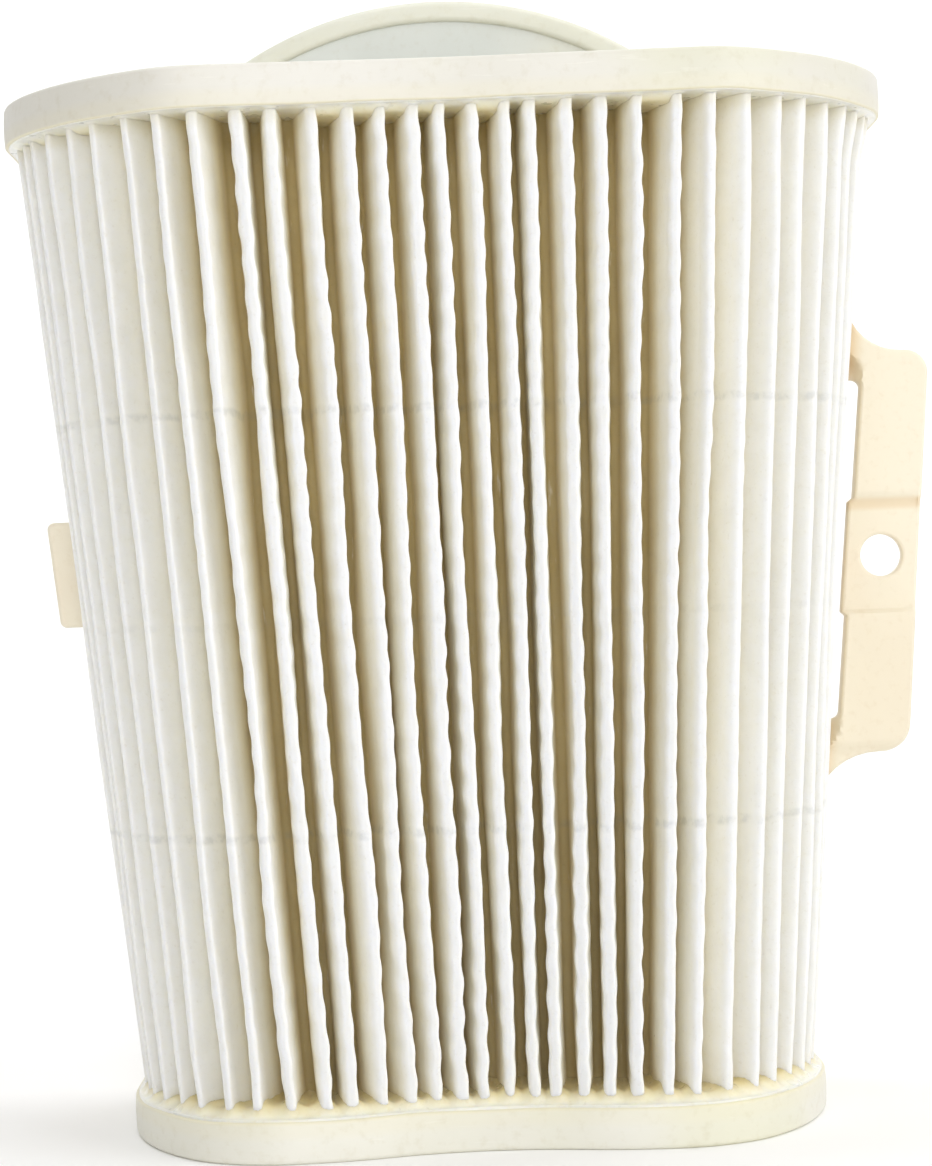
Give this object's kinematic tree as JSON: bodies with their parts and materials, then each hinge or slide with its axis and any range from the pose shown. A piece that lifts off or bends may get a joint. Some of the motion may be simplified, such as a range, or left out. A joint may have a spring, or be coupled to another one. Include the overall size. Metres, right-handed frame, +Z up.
{
  "type": "motorcycle air filter element",
  "caption": "Tapered pleated paper air filter element with moulded end caps, rear outlet plate with rim seal, side screw bracket and locating tab.",
  "frame": {"origin": "on the underside of the bottom end cap, on the element's middle plane and midway through its depth", "axes": "+Z up from the narrow cap to the wide cap, +Y from the shallow front towards the outlet side, +X towards the screw bracket"},
  "size_m": [0.154, 0.0794, 0.1899],
  "materials": {
    "cap_resin": "satin cast polyurethane",
    "filter_paper": "matte fibrous",
    "frame_plastic": "satin moulded",
    "plate_plastic": "satin moulded",
    "cage_plastic": "satin moulded",
    "hot_melt": "waxy"
  },
  "bodies": {
    "root": {"top_end_cap": "cap_resin", "bottom_end_cap": "cap_resin", "pleated_media": "filter_paper", "cage_hoops": "cage_plastic", "cage_uprights": "cage_plastic", "spacer_bead_upper": "hot_melt", "spacer_bead_middle": "hot_melt", "spacer_bead_lower": "hot_melt", "media_bond_left": "hot_melt", "media_bond_right": "hot_melt", "back_frame": "frame_plastic", "outlet_plate": "plate_plastic", "outlet_seal": "cap_resin"}
  },
  "joints": []
}
